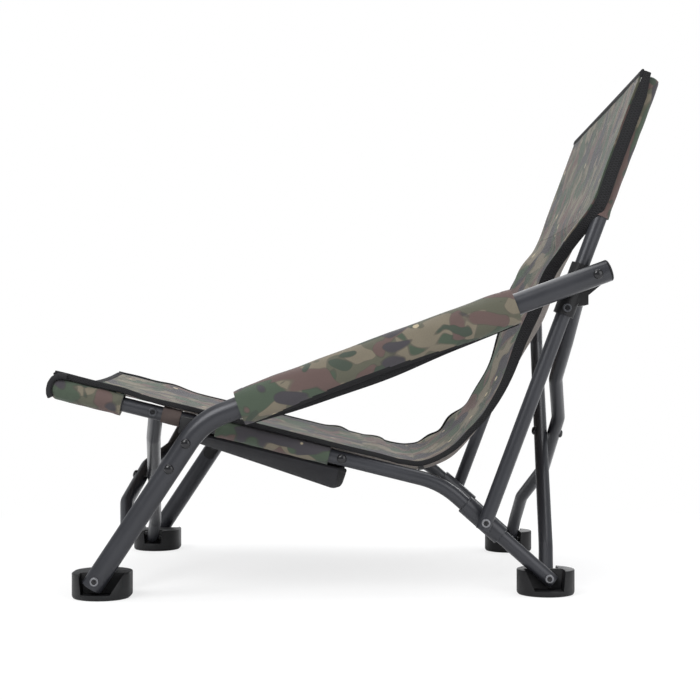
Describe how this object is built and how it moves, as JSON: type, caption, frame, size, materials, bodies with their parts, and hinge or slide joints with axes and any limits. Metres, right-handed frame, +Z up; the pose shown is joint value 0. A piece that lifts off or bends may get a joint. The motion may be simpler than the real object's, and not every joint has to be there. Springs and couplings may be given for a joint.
{
  "type": "low folding fishing chair",
  "caption": "Low reclined folding chair: bent tube side frames, crossed tube braces, swivelling mud feet, padded arms and a printed fabric sling.",
  "frame": {"origin": "middle of the chair's outline on the ground", "axes": "+Z up, the chair faces -X, its left side is at -Y"},
  "size_m": [0.784, 0.6354, 0.6789],
  "materials": {
    "painted_steel": "satin dark grey powder coat",
    "black_plastic": "moulded, slightly glossy black",
    "black_steel": "blackened steel bolts",
    "printed_cloth": "woodland camouflage print on woven polyester",
    "dark_cloth": "dark woven cloth"
  },
  "bodies": {
    "leg_arm_left": {"left_leg_and_arm_tube": "painted_steel", "left_arm_end_plug": "black_plastic", "left_arm_pad": "printed_cloth", "left_pole_guide": "black_plastic", "left_guide_bolt": "black_steel", "left_guide_screw": "black_steel", "left_rail_saddle": "black_plastic", "left_saddle_bolt_upper": "black_steel", "left_saddle_bolt_lower": "black_steel", "left_front_foot_bolt": "black_steel"},
    "foot_front_left": {"left_front_foot": "black_plastic"},
    "front_brace_cranked": {"front_brace_from_left_foot": "painted_steel", "front_brace_rivet": "black_steel"},
    "front_brace_plain": {"front_brace_from_right_foot": "painted_steel"},
    "foot_front_right": {"right_front_foot": "black_plastic"},
    "leg_arm_right": {"right_leg_and_arm_tube": "painted_steel", "right_arm_end_plug": "black_plastic", "right_arm_pad": "printed_cloth", "right_pole_guide": "black_plastic", "right_guide_bolt": "black_steel", "right_guide_screw": "black_steel", "right_rail_saddle": "black_plastic", "right_saddle_bolt_upper": "black_steel", "right_saddle_bolt_lower": "black_steel", "right_front_foot_bolt": "black_steel"},
    "back_pole_right": {"right_back_pole": "painted_steel", "right_back_sleeve": "printed_cloth"},
    "seat_rail_right": {"right_seat_rail": "painted_steel", "right_rear_leg": "painted_steel", "right_ferrule": "painted_steel", "right_rail_rivet": "black_steel", "right_front_brace_bolt": "black_steel", "right_pole_pivot_bolt": "black_steel", "right_rear_foot_bolt": "black_steel", "right_seat_front_pocket": "printed_cloth", "right_seat_sleeve": "printed_cloth", "right_seat_strap": "dark_cloth"},
    "foot_rear_right": {"right_rear_foot": "black_plastic"},
    "back_pole_left": {"left_back_pole": "painted_steel", "left_back_sleeve": "printed_cloth", "back_panel": "printed_cloth", "waist_panel": "printed_cloth"},
    "seat_rail_left": {"left_seat_rail": "painted_steel", "left_rear_leg": "painted_steel", "left_ferrule": "painted_steel", "left_rail_rivet": "black_steel", "left_front_brace_bolt": "black_steel", "left_pole_pivot_bolt": "black_steel", "left_rear_foot_bolt": "black_steel", "left_seat_front_pocket": "printed_cloth", "left_seat_sleeve": "printed_cloth", "left_seat_strap": "dark_cloth", "seat_panel": "printed_cloth", "under_seat_band": "dark_cloth"},
    "foot_rear_left": {"left_rear_foot": "black_plastic"},
    "rear_brace_plain": {"rear_brace_from_left_foot": "painted_steel", "rear_brace_rivet": "black_steel"},
    "rear_brace_cranked": {"rear_brace_from_right_foot": "painted_steel"}
  },
  "joints": [
    {"name": "left_front_foot_swivel", "type": "hinge", "parent": "leg_arm_left", "child": "foot_front_left", "pos_m": [-0.32475, -0.2681, 0.0252], "axis": [0, 1, 0], "range_deg": [0, 25.1]},
    {"name": "fold", "type": "hinge", "parent": "foot_front_left", "child": "front_brace_cranked", "pos_m": [-0.32475, -0.231, 0.0252], "axis": [0.9539, 0, -0.3001], "range_deg": [0, 52.3], "deforming": ["seat_panel", "waist_panel", "back_panel", "under_seat_band", "left_back_sleeve", "right_back_sleeve"]},
    {"name": "front_braces_cross", "type": "hinge", "parent": "front_brace_cranked", "child": "front_brace_plain", "pos_m": [-0.2914, 0, 0.1312], "axis": [0.9539, 0, -0.3001], "range_deg": [-104.8, 0]},
    {"name": "right_front_foot_close", "type": "hinge", "parent": "front_brace_plain", "child": "foot_front_right", "pos_m": [-0.32475, 0.231, 0.0252], "axis": [0.9539, 0, -0.3001], "range_deg": [0, 52.5]},
    {"name": "right_front_foot_swivel", "type": "hinge", "parent": "foot_front_right", "child": "leg_arm_right", "pos_m": [-0.32475, 0.2681, 0.0252], "axis": [0, 1, 0], "range_deg": [-25.1, 0]},
    {"name": "right_pole_slide", "type": "slide", "parent": "leg_arm_right", "child": "back_pole_right", "axis": [-0.3507, 0, -0.9365], "range_m": [0, 0.1485]},
    {"name": "right_rail_fold", "type": "hinge", "parent": "back_pole_right", "child": "seat_rail_right", "pos_m": [0.16965, 0.252, 0.0962], "axis": [0, 1, 0], "range_deg": [0, 58.5]},
    {"name": "right_rear_foot_swivel", "type": "hinge", "parent": "seat_rail_right", "child": "foot_rear_right", "pos_m": [0.25335, 0.252, 0.022], "axis": [0, 1, 0], "range_deg": [-44.9, 0]},
    {"name": "left_pole_slide", "type": "slide", "parent": "leg_arm_left", "child": "back_pole_left", "axis": [-0.3507, 0, -0.9365], "range_m": [0, 0.1485]},
    {"name": "left_rail_fold", "type": "hinge", "parent": "back_pole_left", "child": "seat_rail_left", "pos_m": [0.16965, -0.252, 0.0962], "axis": [0, 1, 0], "range_deg": [0, 58.5]},
    {"name": "left_rear_foot_swivel", "type": "hinge", "parent": "seat_rail_left", "child": "foot_rear_left", "pos_m": [0.25335, -0.252, 0.022], "axis": [0, 1, 0], "range_deg": [-44.9, 0]},
    {"name": "rear_brace_raise", "type": "hinge", "parent": "foot_rear_left", "child": "rear_brace_plain", "pos_m": [0.25335, -0.2247, 0.022], "axis": [0.9937, 0, -0.1122], "range_deg": [0, 41.8]},
    {"name": "rear_braces_cross", "type": "hinge", "parent": "rear_brace_plain", "child": "rear_brace_cranked", "pos_m": [0.27375, 0, 0.2027], "axis": [0.9937, 0, -0.1122], "range_deg": [-83.4, 0]}
  ],
  "couplings": [
    {"joint": "left_front_foot_swivel", "follows": "fold", "ratio": 0.4761},
    {"joint": "front_braces_cross", "follows": "fold", "ratio": -2},
    {"joint": "right_front_foot_close", "follows": "fold", "ratio": 1},
    {"joint": "right_front_foot_swivel", "follows": "fold", "ratio": -0.4761},
    {"joint": "right_pole_slide", "follows": "fold", "m_per_rad": 0.16192},
    {"joint": "left_pole_slide", "follows": "fold", "m_per_rad": 0.16192},
    {"joint": "right_rail_fold", "follows": "fold", "ratio": 1.1147},
    {"joint": "left_rail_fold", "follows": "fold", "ratio": 1.1147},
    {"joint": "right_rear_foot_swivel", "follows": "fold", "ratio": -0.85468},
    {"joint": "left_rear_foot_swivel", "follows": "fold", "ratio": -0.85468},
    {"joint": "rear_brace_raise", "follows": "fold", "ratio": 0.79541},
    {"joint": "rear_braces_cross", "follows": "fold", "ratio": -1.5908}
  ]
}
